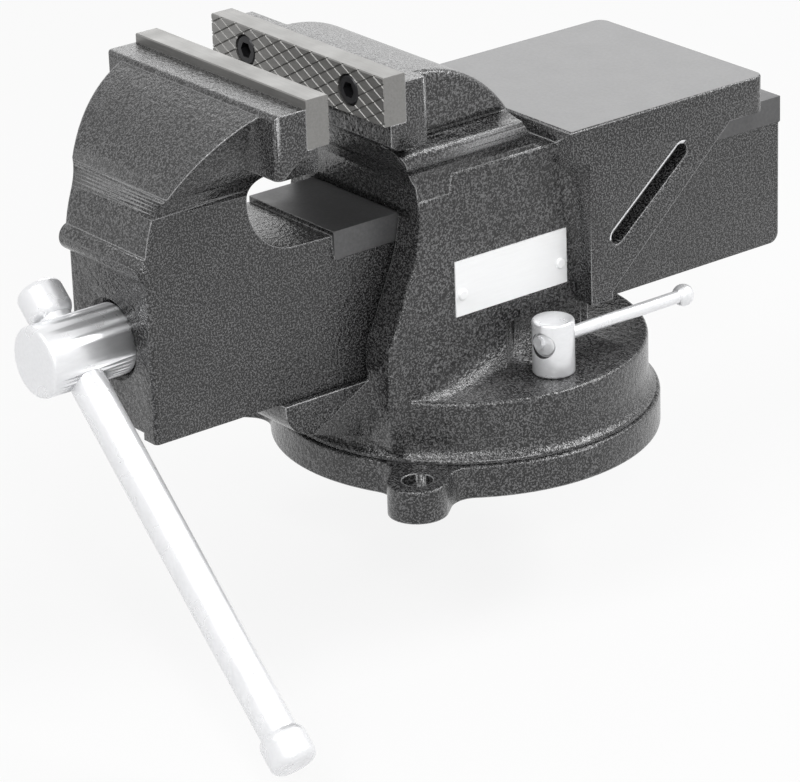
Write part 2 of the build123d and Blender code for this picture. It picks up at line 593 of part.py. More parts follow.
with BuildPart() as movable_jaw:
    add(front_block.part)
    add(movable_head.part)
    with BuildSketch(Plane.XZ.offset(-SLIDE_REAR_Y)) as slide_section:
        with BuildLine():
            Polyline(
                (0, SLIDE_BOTTOM), (SLIDE_HALF, SLIDE_BOTTOM), (SLIDE_HALF, FLANGE_BOTTOM - 1.5),
                (FLANGE_HALF, FLANGE_BOTTOM), (FLANGE_HALF, FLANGE_TOP), (0, FLANGE_TOP), (0, SLIDE_BOTTOM),
            )
        make_face()
        mirror(about=Plane.YZ)
    extrude(amount=SLIDE_REAR_Y - FLANGE_FRONT_Y)
    with BuildSketch(Plane.XZ.offset(-SLIDE_REAR_Y - 1)):
        with Locations((0, (SLIDE_BOTTOM + CHANNEL_TOP) / 2 - 5)):
            Rectangle(2 * CHANNEL_HALF, CHANNEL_TOP - SLIDE_BOTTOM + 10)
    extrude(amount=SLIDE_REAR_Y + 1 - FRONT_WALL_BACK_Y, mode=Mode.SUBTRACT)
    rear_corners = movable_jaw.edges().filter_by(Axis.X).group_by(Axis.Y)[-1].group_by(Axis.Z)[0]
    fillet(rear_corners, radius=SLIDE_CORNER_RADIUS)
    # notch under the front wall
    with BuildSketch(Plane.XY.offset(SLIDE_BOTTOM - 1)):
        with Locations((0, -219)):
            Rectangle(50, 40)
    extrude(amount=5, mode=Mode.SUBTRACT)
    # spindle hole with the recess round its head
    with BuildSketch(Plane.XZ.offset(-SLIDE_FRONT_Y)):
        with Locations((0, SPINDLE_Z)):
            Circle(22.5)
    extrude(amount=-3.3, mode=Mode.SUBTRACT)
    with BuildSketch(Plane.XZ.offset(-SLIDE_FRONT_Y)):
        with Locations((0, SPINDLE_Z)):
            Circle(SPINDLE_NECK_RADIUS)
    extrude(amount=SLIDE_FRONT_Y - FRONT_WALL_BACK_Y - 1, mode=Mode.SUBTRACT)
    # tapped holes for the plate's screws
    with BuildSketch(Plane.XZ.offset(-plate_back_moving)):
        with Locations((-JAW_SCREW_X, JAW_SCREW_Z), (JAW_SCREW_X, JAW_SCREW_Z)):
            Circle(TAPPED_RADIUS)
    extrude(amount=16, mode=Mode.SUBTRACT)
save(movable_jaw.part, "movable_jaw")

# Spindle with its cross-drilled head
with BuildPart() as spindle:
    with BuildSketch(Plane.YZ):
        with BuildLine():
            head = SPINDLE_Z + SPINDLE_HEAD_RADIUS
            neck = SPINDLE_Z + SPINDLE_NECK_RADIUS - RUNNING_FIT
            screw = SPINDLE_Z + SPINDLE_SCREW_RADIUS
            Polyline((SPINDLE_HEAD_FRONT_Y, SPINDLE_Z), (SPINDLE_HEAD_FRONT_Y, head - 2.5))
            ThreePointArc(
                (SPINDLE_HEAD_FRONT_Y, head - 2.5), (SPINDLE_HEAD_FRONT_Y + 0.73, head - 0.73),
                (SPINDLE_HEAD_FRONT_Y + 2.5, head),
            )
            Polyline(
                (SPINDLE_HEAD_FRONT_Y + 2.5, head), (-231.7, head), (-230.7, head - 1), (-230.7, neck),
                (FRONT_WALL_BACK_Y, neck), (FRONT_WALL_BACK_Y, screw), (SPINDLE_END_Y - 3, screw),
                (SPINDLE_END_Y, screw - 3), (SPINDLE_END_Y, SPINDLE_Z), (SPINDLE_HEAD_FRONT_Y, SPINDLE_Z),
            )
        make_face()
    revolve(axis=spindle_axis)
    with Locations(Location((0, HANDLE_Y, SPINDLE_Z), (0, 90 + HANDLE_TILT, 0))):
        Cylinder(HANDLE_RADIUS + 0.08, 60, mode=Mode.SUBTRACT)
    with Locations((0, PIN_Y, SPINDLE_Z)):
        Cylinder(2.6, 60, mode=Mode.SUBTRACT)
save(spindle.part, "spindle")

# Two washers behind the front wall, and the split pin that keeps them on the spindle
WASHER_RADIUS = 20.0
WASHER_THICK = 3.0
WASHER_SPACING = 20.8
PIN_RADIUS = 2.5
PIN_LENGTH = 38.0
PIN_EYE_RADIUS = 3.6

with BuildPart() as thrust_washers:
    for washer_y in (FRONT_WALL_BACK_Y, FRONT_WALL_BACK_Y + WASHER_SPACING):
        with BuildSketch(Plane.XZ.offset(-washer_y)):
            with Locations((0, SPINDLE_Z)):
                Circle(WASHER_RADIUS)
                Circle(SPINDLE_SCREW_RADIUS + RUNNING_FIT, mode=Mode.SUBTRACT)
        extrude(amount=-WASHER_THICK)
save(thrust_washers.part, "thrust_washers")

with BuildPart() as split_pin:
    with Locations((0, PIN_Y, SPINDLE_Z)):
        Cylinder(PIN_RADIUS, PIN_LENGTH)
    with BuildSketch(Plane.YZ):
        with Locations((PIN_Y + 1.1, SPINDLE_Z + 17.5)):
            Circle(PIN_EYE_RADIUS)
    extrude(amount=2, both=True)
save(split_pin.part, "split_pin")

# Spring that takes up the play between the two washers: straight runs that follow a helix
SPRING_WIRE = 1.5
SPRING_RADIUS = 15.6
SPRING_TURNS = 3.5
SPRING_RUNS = 42
SPRING_PLAY = 0.1
spring_length = WASHER_SPACING - WASHER_THICK - 2 * (SPRING_WIRE + SPRING_PLAY)
spring_start = FRONT_WALL_BACK_Y + WASHER_THICK + SPRING_WIRE + SPRING_PLAY


def spring_point(step):
    """A point of the spring's centre line after a number of runs."""
    angle = 2 * math.pi * SPRING_TURNS * step / SPRING_RUNS
    along = spring_start + spring_length * step / SPRING_RUNS
    return SPRING_RADIUS * math.cos(angle), along, SPINDLE_Z + SPRING_RADIUS * math.sin(angle)


with BuildPart() as jaw_spring:
    with BuildLine() as coil:
        Polyline(*[spring_point(step) for step in range(SPRING_RUNS + 1)])
    with BuildSketch(coil.line ^ 0):
        Circle(SPRING_WIRE)
    sweep(transition=Transition.RIGHT)
save(jaw_spring.part, "jaw_spring")

# Sliding handle with a turned knob on each end
tilt = math.radians(HANDLE_TILT)
handle_dir = (math.cos(tilt), 0, -math.sin(tilt))
handle_side = Plane((0, HANDLE_Y, SPINDLE_Z), x_dir=handle_dir, z_dir=(0, 1, 0))
handle_axis = Axis((0, HANDLE_Y, SPINDLE_Z), handle_dir)
KNOB_HALF = 10.0
BAR_END_RADIUS = 7.0

with BuildPart() as handle_bar:
    with BuildSketch(handle_side):
        with BuildLine():
            Polyline(
                (-HANDLE_UPPER_REACH - 6, 0), (-HANDLE_UPPER_REACH - 6, BAR_END_RADIUS),
                (-HANDLE_UPPER_REACH + KNOB_HALF, BAR_END_RADIUS),
                (-HANDLE_UPPER_REACH + KNOB_HALF, HANDLE_RADIUS),
                (HANDLE_LOWER_REACH - KNOB_HALF, HANDLE_RADIUS),
                (HANDLE_LOWER_REACH - KNOB_HALF, BAR_END_RADIUS),
                (HANDLE_LOWER_REACH + 6, BAR_END_RADIUS), (HANDLE_LOWER_REACH + 6, 0),
                (-HANDLE_UPPER_REACH - 6, 0),
            )
        make_face()
    revolve(axis=handle_axis)
save(handle_bar.part, "handle_bar")


def knob(centre, outward, name):
    """A barrel-shaped knob on the turned-down end of the handle; outward is -1 or 1."""
    inner = centre - outward * KNOB_HALF
    outer = centre + outward * KNOB_HALF
    bottom = centre + outward * 6.2
    with BuildPart() as turned:
        with BuildSketch(handle_side):
            with BuildLine():
                Polyline((inner, BAR_END_RADIUS + 0.05), (inner, HANDLE_RADIUS + 0.2))
                ThreePointArc(
                    (inner, HANDLE_RADIUS + 0.2), (inner + outward * 3, HANDLE_KNOB_RADIUS - 0.4),
                    (inner + outward * 6.5, HANDLE_KNOB_RADIUS),
                )
                Line((inner + outward * 6.5, HANDLE_KNOB_RADIUS), (outer - outward * 5, HANDLE_KNOB_RADIUS))
                ThreePointArc(
                    (outer - outward * 5, HANDLE_KNOB_RADIUS),
                    (outer - outward * 1.5, HANDLE_KNOB_RADIUS - 1.5),
                    (outer, HANDLE_KNOB_RADIUS - 5),
                )
                Polyline(
                    (outer, HANDLE_KNOB_RADIUS - 5), (outer, 0), (bottom, 0),
                    (bottom, BAR_END_RADIUS + 0.05), (inner, BAR_END_RADIUS + 0.05),
                )
            make_face()
        revolve(axis=handle_axis)
    save(turned.part, name)


knob(-HANDLE_UPPER_REACH, -1, "handle_stop")
knob(HANDLE_LOWER_REACH, 1, "handle_end")

# Clamp nuts with their turning bars, one each side of the turntable
for side, word in ((1, "right"), (-1, "left")):
    spot = side * LOCK_X
    with BuildPart() as lock_nut:
        with BuildSketch(Plane.XY.offset(TABLE_TOP)):
            with Locations((spot, 0)):
                Circle(LOCK_NUT_RADIUS)
        extrude(amount=LOCK_NUT_HEIGHT)
        fillet(lock_nut.edges().sort_by(Axis.Z)[-1], radius=1.5)
        with BuildSketch(Plane.XY.offset(TABLE_TOP + LOCK_NUT_HEIGHT)):
            with Locations((spot, 0)):
                Circle(LOCK_NUT_RADIUS - 3)
        extrude(amount=-LOCK_NUT_DISH, mode=Mode.SUBTRACT)
        with BuildSketch(Plane.XY.offset(TABLE_TOP)):
            with Locations((spot, 0)):
                Circle(LOCK_BOLT_RADIUS + 0.05)
        extrude(amount=14.5, mode=Mode.SUBTRACT)
        with Locations(Location((spot, 0, LOCK_BAR_Z), (90, 0, 0))):
            Cylinder(LOCK_BAR_RADIUS + 0.05, 40, mode=Mode.SUBTRACT)
    save(lock_nut.part, f"lock_nut_{word}")

    with BuildPart() as lock_bar:
        with BuildSketch(Plane.XZ.offset(LOCK_NUT_RADIUS - 0.4)):
            with Locations((spot, LOCK_BAR_Z)):
                Circle(LOCK_BAR_RADIUS)
        extrude(amount=-(LOCK_BAR_REACH + LOCK_NUT_RADIUS + 4))
    save(lock_bar.part, f"lock_bar_{word}")

    with BuildPart() as lock_knob:
        with Locations((spot, LOCK_KNOB_Y, LOCK_BAR_Z)):
            Sphere(LOCK_KNOB_RADIUS)
        with BuildSketch(Plane.XZ.offset(LOCK_KNOB_RADIUS - LOCK_KNOB_Y)):
            with Locations((spot, LOCK_BAR_Z)):
                Circle(LOCK_BAR_RADIUS + 0.05)
        extrude(amount=-LOCK_KNOB_BORE, mode=Mode.SUBTRACT)
    save(lock_knob.part, f"lock_knob_{word}")
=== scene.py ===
"""Dressed model of a swivel bench vise: castings, plates, bright steel and a plain studio."""
import math

import bmesh
import bpy
from bpy.props import FloatProperty, FloatVectorProperty, IntProperty, PointerProperty
from bpy.types import Operator, Panel, PropertyGroup
from mathutils import Matrix, Vector


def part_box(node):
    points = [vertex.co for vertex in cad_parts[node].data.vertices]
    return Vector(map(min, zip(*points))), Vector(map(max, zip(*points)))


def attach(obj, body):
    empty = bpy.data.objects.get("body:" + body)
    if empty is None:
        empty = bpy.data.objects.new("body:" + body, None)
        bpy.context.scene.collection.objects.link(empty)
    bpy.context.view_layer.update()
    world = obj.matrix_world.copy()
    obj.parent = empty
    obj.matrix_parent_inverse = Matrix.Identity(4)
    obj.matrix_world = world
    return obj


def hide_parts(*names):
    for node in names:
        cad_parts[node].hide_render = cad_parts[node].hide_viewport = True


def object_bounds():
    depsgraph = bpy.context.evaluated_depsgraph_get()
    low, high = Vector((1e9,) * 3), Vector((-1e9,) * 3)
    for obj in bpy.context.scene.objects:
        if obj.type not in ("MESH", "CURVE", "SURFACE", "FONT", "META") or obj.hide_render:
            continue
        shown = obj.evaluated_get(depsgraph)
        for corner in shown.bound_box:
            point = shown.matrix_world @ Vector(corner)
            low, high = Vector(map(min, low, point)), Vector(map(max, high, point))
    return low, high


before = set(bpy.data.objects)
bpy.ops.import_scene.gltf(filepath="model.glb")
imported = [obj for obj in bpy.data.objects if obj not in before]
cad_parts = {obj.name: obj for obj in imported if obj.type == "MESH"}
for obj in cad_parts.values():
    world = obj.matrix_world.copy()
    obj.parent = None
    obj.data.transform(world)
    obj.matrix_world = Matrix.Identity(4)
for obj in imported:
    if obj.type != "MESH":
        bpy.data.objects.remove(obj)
cad_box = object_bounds()

bl_info = {
    "name": "Bench Vise",
    "version": (1, 0, 0),
    "blender": (4, 5, 0),
    "location": "View3D > Sidebar > Vise",
    "description": "Dresses the parts of a swivel bench vise and sets up a plain studio",
    "category": "Object",
}

MM = 0.001
FINISHES = {}

# Points closer than this are one, and edges sharper than this are rounded
MERGE = 0.01 * MM
SHARP = math.radians(40)

# Least cosine between a face's normal and the way it looks, for a flat end and for the anvil
FACING = 0.99
UPWARD = 0.9

# Bare iron on the castings: the bounds of the anvil's top and of the slide's flanges
ANVIL_TOP = 182.5 * MM
ANVIL_FRONT = 20 * MM
FLANGE_FRONT = -116 * MM
FLANGE_FOOT = 136 * MM
FLANGE_TOP = 151.5 * MM
FLANGE_SIDE = 36.6 * MM
LEVEL = 0.2 * MM

# Painted highlight on the slot's rim: how far past the slot the light-painted faces reach, and how
# much they look down across it
HIGHLIGHT_REACH = 4 * MM
HIGHLIGHT_SLANT = (0.25, 0.9)

# Slot cutter: how far it stands proud of the wall, and its sides
CUTTER_PROUD = 0.2 * MM
CUTTER_SIDES = 62

# Clamp nuts: sides, reach of the top's middle, the bore's cutter, and the reach and slant of the
# bore walls that take a painted shade round the pin
NUT_SIDES = 96
NUT_MIDDLE = 4 * MM
BORE_LENGTH = 10 * MM
BORE_SHADE_REACH = 1.2 * MM
BORE_SHADE_SLANT = 0.3

# Spindle: its height, and the thread's flank and crest as shares of the pitch
SPINDLE_Z = 112.6 * MM
FLANK = 0.14
CREST = 0.32

# Tool lines: noise scales along X, Y and Z; a low one draws long lines along its axis
LINES_ALONG_X = (60, 900, 900)
LINES_ALONG_Y = (900, 60, 900)
LINES_ALONG_BAR = (150, 150, 20)
LINES_TURNED = (500, 120, 500)
LINES_EVEN = (500, 500, 500)

# Noise: the span that is used, and the clouds in the enamel and on the steel
LOW, HIGH = 0.3, 0.7
ENAMEL_CLOUD = 38
STEEL_CLOUD = 55

# Enamel: where the grain turns to fleck, the turns of the normal at which a painted edge
# highlight is full and at which it is gone, and how the skin and its clear coat shine
FLECK_FROM, FLECK_FULL = 0.49, 0.58
PAINTED_GLINT_FULL, PAINTED_GLINT_NONE = 0.86, 0.985
COAT = {"Specular IOR Level": 0.4, "Coat Weight": 0.3, "Coat IOR": 1.5, "Coat Roughness": 0.1}

# Studio: each lamp's place and size
LAMP_TARGET = Vector((0, -0.03, 0.12))
LAMPS = {
    "key": ((0.35, -1.4, 1.8), (1.2, 0.9)),
    "front": ((1.75, -1.1, 1.3), (0.3, 0.3)),
    "side": ((0.8, 1.15, 1.5), (1.2, 0.5)),
    "back": ((-1.3, 1.0, 0.9), (1.3, 0.8)),
}
FLOOR_SIZE = 12
SENSOR_WIDTH = 36
CLIP_END = 50


# Settings

class ViseStage(PropertyGroup):
    azimuth: FloatProperty(
        name="Azimuth", description="Direction the camera looks in, turned from +Y",
        default=math.radians(52.5), subtype="ANGLE")
    elevation: FloatProperty(
        name="Elevation", description="How far the camera looks down",
        default=math.radians(22.88), subtype="ANGLE")
    roll: FloatProperty(
        name="Roll", description="Turn of the camera about its own axis",
        default=math.radians(-1.91), subtype="ANGLE")
    lens: FloatProperty(
        name="Lens", description="Focal length on a 36 mm sensor", default=192.0, unit="CAMERA")
    eye: FloatVectorProperty(
        name="Camera place", description="Where the camera stands",
        default=(1.7260, -1.3701, 0.9476), subtype="XYZ", unit="LENGTH")
    floor_drop: FloatProperty(
        name="Floor drop", description="Gap from the lowest point of the vise to the floor",
        default=0.02, unit="LENGTH")
    floor_colour: FloatVectorProperty(
        name="Floor colour", description="Colour of the floor in the light of the lamps",
        default=(0.72, 0.72, 0.72), subtype="COLOR", size=3)
    floor_white: FloatProperty(
        name="Floor white", description="How far the floor is lifted to white where it shows",
        default=0.88, min=0.0, max=1.0, subtype="FACTOR")
    air: FloatProperty(
        name="Air", description="Strength of the light from all round", default=0.2, min=0.0)
    key_power: FloatProperty(
        name="Key lamp", description="Power of the large lamp in front", default=24.0,
        unit="POWER")
    front_power: FloatProperty(
        name="Front lamp", description="Power of the lamp beside the camera", default=14.0,
        unit="POWER")
    side_power: FloatProperty(
        name="Side lamp", description="Power of the strip lamp on the right", default=27.0,
        unit="POWER")
    back_power: FloatProperty(
        name="Back lamp", description="Power of the lamp behind the anvil", default=5.0,
        unit="POWER")


class ViseEnamel(PropertyGroup):
    dark: FloatVectorProperty(
        name="Ground colour", description="Colour between the flecks",
        default=(0.008, 0.008, 0.0085), subtype="COLOR", size=3)
    fleck: FloatVectorProperty(
        name="Fleck colour", description="Colour of the silvery flecks",
        default=(0.155, 0.155, 0.157), subtype="COLOR", size=3)
    grain: FloatProperty(
        name="Grain", description="Size of one fleck", default=1.0 * MM, unit="LENGTH")
    pebble: FloatProperty(
        name="Pebble", description="Size of one bump of the skin", default=2.6 * MM, unit="LENGTH")
    edge: FloatProperty(
        name="Edge rounding", description="Radius of the cast edges", default=1.2 * MM,
        unit="LENGTH")
    # Painted highlight: the light colour laid on sharp cast edges in place of their glints
    painted_edge_glint: FloatVectorProperty(
        name="Painted edge glint", description="Colour of the highlight painted on sharp edges",
        default=(0.45, 0.45, 0.455), subtype="COLOR", size=3)


class ViseSteel(PropertyGroup):
    ground: FloatVectorProperty(
        name="Ground steel", description="Colour of the jaw plates",
        default=(0.24, 0.237, 0.23), subtype="COLOR", size=3)
    machined: FloatVectorProperty(
        name="Machined iron", description="Colour of the anvil's top",
        default=(0.24, 0.24, 0.242), subtype="COLOR", size=3)
    scraped: FloatVectorProperty(
        name="Scraped iron", description="Colour of the slide's flanges",
        default=(0.125, 0.125, 0.127), subtype="COLOR", size=3)
    bright: FloatVectorProperty(
        name="Bright steel", description="Colour of the zinc-plated pieces",
        default=(0.86, 0.865, 0.88), subtype="COLOR", size=3)
    # Also laid on the clamp nuts' bore walls round the cross pins as a painted shade
    blacked_and_bore_shade: FloatVectorProperty(
        name="Blacked steel", description="Colour of the screws, the nut's bolts and the spring",
        default=(0.018, 0.018, 0.02), subtype="COLOR", size=3)
    rough: FloatVectorProperty(
        name="Rough iron", description="Colour of the spindle's nut",
        default=(0.12, 0.12, 0.12), subtype="COLOR", size=3)
    plate: FloatVectorProperty(
        name="Blank plate", description="Colour of the bare aluminium plate",
        default=(0.97, 0.975, 0.98), subtype="COLOR", size=3)


class ViseSlot(PropertyGroup):
    wall: FloatProperty(
        name="Wall", description="Distance of the wall's face from the middle",
        default=70 * MM, unit="LENGTH")
    centre: FloatVectorProperty(
        name="Centre", description="Middle of the slot along Y and Z",
        default=(78.3 * MM, 133.2 * MM), size=2, unit="LENGTH")
    tilt: FloatProperty(
        name="Tilt", description="Slant of the slot", default=math.radians(39.2), subtype="ANGLE")
    length: FloatProperty(
        name="Length", description="Length over the ends", default=69 * MM, unit="LENGTH")
    width: FloatProperty(
        name="Width", description="Width of the slot", default=9.3 * MM, unit="LENGTH")
    rim: FloatProperty(
        name="Rim", description="Width of the slanting rim", default=2.6 * MM, unit="LENGTH")
    chamfer: FloatProperty(
        name="Chamfer", description="Depth of the slanting rim", default=1.2 * MM, unit="LENGTH")


class ViseLock(PropertyGroup):
    pin_turn: FloatProperty(
        name="Pin turn", description="Direction of the cross pin's end, turned from +X",
        default=math.radians(-73), subtype="ANGLE")
    pin_height: FloatProperty(
        name="Pin height", description="Height of the cross pin's middle", default=71.5 * MM,
        unit="LENGTH")
    pin_radius: FloatProperty(
        name="Pin radius", description="Radius of the cross pin", default=6.5 * MM, unit="LENGTH")
    pin_depth: FloatProperty(
        name="Pin depth", description="Distance from the nut's middle to the bottom of its bore",
        default=8.6 * MM, unit="LENGTH")
    pin_play: FloatProperty(
        name="Pin play", description="Gap round the cross pin", default=0.8 * MM, unit="LENGTH")
    pin_rim: FloatProperty(
        name="Pin rim", description="Width of the rim round the pin's end", default=1.6 * MM,
        unit="LENGTH")
    pin_hollow: FloatProperty(
        name="Pin hollow", description="Depth of the pin's hollow end", default=0.35 * MM,
        unit="LENGTH")
    rounding: FloatProperty(
        name="Nut rounding", description="Rounding of the nut's ends", default=1.5 * MM,
        unit="LENGTH")
    rim: FloatProperty(
        name="Nut rim", description="Width of the rim round the nut's recessed top",
        default=2.2 * MM, unit="LENGTH")
    recess: FloatProperty(
        name="Recess", description="Depth of the nut's recessed top and rounding of the pin",
        default=0.9 * MM, unit="LENGTH")


class ViseThread(PropertyGroup):
    pitch: FloatProperty(
        name="Pitch", description="Advance in one turn", default=5 * MM, unit="LENGTH")
    depth: FloatProperty(
        name="Depth", description="Depth of the thread", default=2.2 * MM, unit="LENGTH")
    radius: FloatProperty(
        name="Radius", description="Outer radius of the thread", default=11.95 * MM, unit="LENGTH")
    start: FloatProperty(
        name="Start", description="Where the thread starts, behind the split pin",
        default=-170 * MM, unit="LENGTH")
    tip: FloatProperty(
        name="Tip", description="Length of the plain tip", default=5 * MM, unit="LENGTH")
    rounding: FloatProperty(
        name="Tip rounding", description="Rounding of the tip's ends", default=1.2 * MM,
        unit="LENGTH")
    steps: IntProperty(name="Steps", description="Steps in one turn", default=36, min=8)


# Small tools for modelling

def deselect():
    """Leaves edit mode with nothing selected."""
    if bpy.context.object and bpy.context.object.mode != "OBJECT":
        bpy.ops.object.mode_set(mode="OBJECT")
    bpy.ops.object.select_all(action="DESELECT")


def take_up(piece):
    """Makes a piece the only selected and active one."""
    deselect()
    piece.select_set(True)
    bpy.context.view_layer.objects.active = piece


def pick_all(piece):
    """Opens a piece in edit mode with everything selected."""
    take_up(piece)
    bpy.ops.object.mode_set(mode="EDIT")
    bpy.ops.mesh.select_all(action="SELECT")


def pick_faces(piece, test):
    """Opens a piece in edit mode with the faces selected whose centre and normal pass the test."""
    take_up(piece)
    bpy.ops.object.mode_set(mode="EDIT")
    bpy.ops.mesh.select_mode(type="FACE")
    bpy.ops.mesh.select_all(action="DESELECT")
    net = bmesh.from_edit_mesh(piece.data)
    for face in net.faces:
        face.select_set(bool(test(face.calc_center_median(), face.normal)))
    bmesh.update_edit_mesh(piece.data)


def copy_of(node, name):
    """A separate piece with the same shape as a solid of the frame, its faces joined up."""
    piece = bpy.data.objects.new(name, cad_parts[node].data.copy())
    bpy.context.scene.collection.objects.link(piece)
    piece.data.materials.clear()
    pick_all(piece)
    bpy.ops.mesh.remove_doubles(threshold=MERGE)
    bpy.ops.object.mode_set(mode="OBJECT")
    return piece


def apply_modifier(piece, kind, **settings):
    """Adds a modifier with these settings and applies it."""
    take_up(piece)
    modifier = piece.modifiers.new(kind.title(), kind)
    for key, value in settings.items():
        setattr(modifier, key, value)
    bpy.ops.object.modifier_apply(modifier=modifier.name)


def smooth(piece, degrees=32):
    """Shades a piece smooth but for the edges sharper than this angle."""
    take_up(piece)
    bpy.ops.object.shade_smooth_by_angle(angle=math.radians(degrees))


def finish_piece(piece, body, slot, *nodes):
    """Seats a piece at the origin, hangs it on its body and lets it stand for its solids."""
    take_up(piece)
    bpy.ops.object.transform_apply(location=True, rotation=True, scale=True)
    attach(piece, body)
    if nodes:
        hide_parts(*nodes)
    deselect()


def dress(node, material):
    """Gives a solid of the frame its finish."""
    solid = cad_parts[node]
    solid.data.materials.clear()
    solid.data.materials.append(material)


# Materials

def blank_material(name):
    """A new material with its nodes and its surface shader."""
    material = bpy.data.materials.new(name)
    material.use_nodes = True
    tree = material.node_tree
    return material, tree, tree.nodes["Principled BSDF"]


def feed(tree, socket, value):
    """Links an output to a socket, or sets the socket's own value."""
    if isinstance(value, bpy.types.NodeSocket):
        tree.links.new(value, socket)
    else:
        socket.default_value = value


def add(tree, kind, settings=None, **inputs):
    """Adds a node with these settings and inputs; an underscore stands for a space."""
    node = tree.nodes.new(kind)
    for key, value in (settings or {}).items():
        setattr(node, key, value)
    for key, value in inputs.items():
        feed(tree, node.inputs[key.replace("_", " ")], value)
    return node


def rgba(colour):
    """The same colour, opaque."""
    return (*colour, 1.0)


def ramp(tree, value, first, last):
    """A ramp of greys between two stops, each (place, grey)."""
    node = add(tree, "ShaderNodeValToRGB", Fac=value)
    for element, (place, grey) in zip(node.color_ramp.elements, (first, last)):
        element.position = place
        element.color = rgba((grey, grey, grey))
    return node.outputs["Color"]


def blend(tree, share, first, second):
    """Mixes two colours."""
    node = add(tree, "ShaderNodeMix", {"data_type": "RGBA"})
    for key, value in (("Factor_Float", share), ("A_Color", first), ("B_Color", second)):
        feed(tree, next(s for s in node.inputs if s.identifier == key), value)
    return next(s for s in node.outputs if s.identifier == "Result_Color")


def shown_rays(tree):
    """1 for the rays that show the background: those of the camera, of gloss and of glass."""
    path = add(tree, "ShaderNodeLightPath")
    shown = path.outputs["Is Camera Ray"]
    for kind in ("Is Glossy Ray", "Is Transmission Ray"):
        either = add(tree, "ShaderNodeMath", {"operation": "MAXIMUM"})
        tree.links.new(shown, either.inputs[0])
        tree.links.new(path.outputs[kind], either.inputs[1])
        shown = either.outputs[0]
    return shown


def rounded_edges(tree, radius):
    """A surface direction that turns softly over sharp edges."""
    return add(tree, "ShaderNodeBevel", {"samples": 6}, Radius=radius).outputs["Normal"]


def hammered_enamel(paint):
    """Dark enamel: silvery flecks in a pebbled, glossy skin, and a highlight painted on its sharp
    edges.
    """
    material, tree, surface = blank_material("hammered_enamel")
    place = add(tree, "ShaderNodeTexCoord").outputs["Object"]
    grain = add(tree, "ShaderNodeTexNoise", Vector=place, Scale=1 / paint.grain, Detail=2.0,
                Roughness=0.5, Distortion=0.3)
    cells = add(tree, "ShaderNodeTexVoronoi", {"feature": "SMOOTH_F1"}, Vector=place,
                Scale=1 / paint.pebble)
    cloud = add(tree, "ShaderNodeTexNoise", Vector=place, Scale=ENAMEL_CLOUD, Detail=2.0)
    fleck = ramp(tree, grain.outputs["Fac"], (FLECK_FROM, 0.0), (FLECK_FULL, 1.0))
    silver = ramp(tree, grain.outputs["Fac"], (FLECK_FROM, 0.0), (FLECK_FULL, 0.4))
    tint = ramp(tree, cloud.outputs["Fac"], (LOW, 0.8), (HIGH, 1.0))
    flecked = blend(tree, fleck, rgba(paint.dark), rgba(paint.fleck))
    edge = rounded_edges(tree, paint.edge)
    # Painted highlight: where the rounded normal turns from the true one, at sharp edges, the
    # colour is lifted to a light grey
    turn = add(tree, "ShaderNodeVectorMath", {"operation": "DOT_PRODUCT"})
    feed(tree, turn.inputs[0], edge)
    feed(tree, turn.inputs[1], add(tree, "ShaderNodeNewGeometry").outputs["Normal"])
    painted_edge_glint = ramp(tree, turn.outputs["Value"], (PAINTED_GLINT_FULL, 1.0), (PAINTED_GLINT_NONE, 0.0))
    clouded = blend(tree, tint, rgba(paint.dark), flecked)
    gloss = ramp(tree, grain.outputs["Fac"], (0.4, 0.2), (0.62, 0.3))
    skin = add(tree, "ShaderNodeBump", Strength=0.8, Distance=0.5 * MM,
               Height=cells.outputs["Distance"], Normal=edge)
    fine = add(tree, "ShaderNodeBump", Strength=1.0, Distance=0.3 * MM,
               Height=grain.outputs["Fac"], Normal=skin.outputs["Normal"])
    sockets = {
        "Base Color": blend(tree, painted_edge_glint, clouded, rgba(paint.painted_edge_glint)),
        "Metallic": silver,
        "Roughness": gloss,
        "Normal": fine.outputs["Normal"],
        "Coat Normal": fine.outputs["Normal"],
        **COAT,
    }
    for name, value in sockets.items():
        feed(tree, surface.inputs[name], value)
    return material


def lined_steel(name, colour, lines, roughness, bump, metallic, wear=0.12, uneven=0.15):
    """Metal with fine tool lines; wear sways its colour and uneven its roughness."""
    material, tree, surface = blank_material(name)
    place = add(tree, "ShaderNodeTexCoord").outputs["Object"]
    drawn = add(tree, "ShaderNodeMapping", Vector=place, Scale=lines)
    tool = add(tree, "ShaderNodeTexNoise", Vector=drawn.outputs["Vector"], Scale=1.0, Detail=4.0,
               Roughness=0.7)
    cloud = add(tree, "ShaderNodeTexNoise", Vector=place, Scale=STEEL_CLOUD, Detail=3.0)
    light = tuple(min(1.0, c * (1 + wear)) for c in colour)
    dark = tuple(c * (1 - wear) for c in colour)
    share = ramp(tree, tool.outputs["Fac"], (LOW, 0.0), (HIGH, 1.0))
    relief = add(tree, "ShaderNodeBump", Strength=bump, Distance=0.05 * MM,
                 Height=tool.outputs["Fac"])
    sockets = {
        "Base Color": blend(tree, share, rgba(dark), rgba(light)),
        "Roughness": ramp(tree, cloud.outputs["Fac"], (LOW, roughness * (1 - uneven)),
                          (HIGH, roughness * (1 + uneven))),
        "Normal": relief.outputs["Normal"],
        "Metallic": metallic,
    }
    for name, value in sockets.items():
        feed(tree, surface.inputs[name], value)
    return material


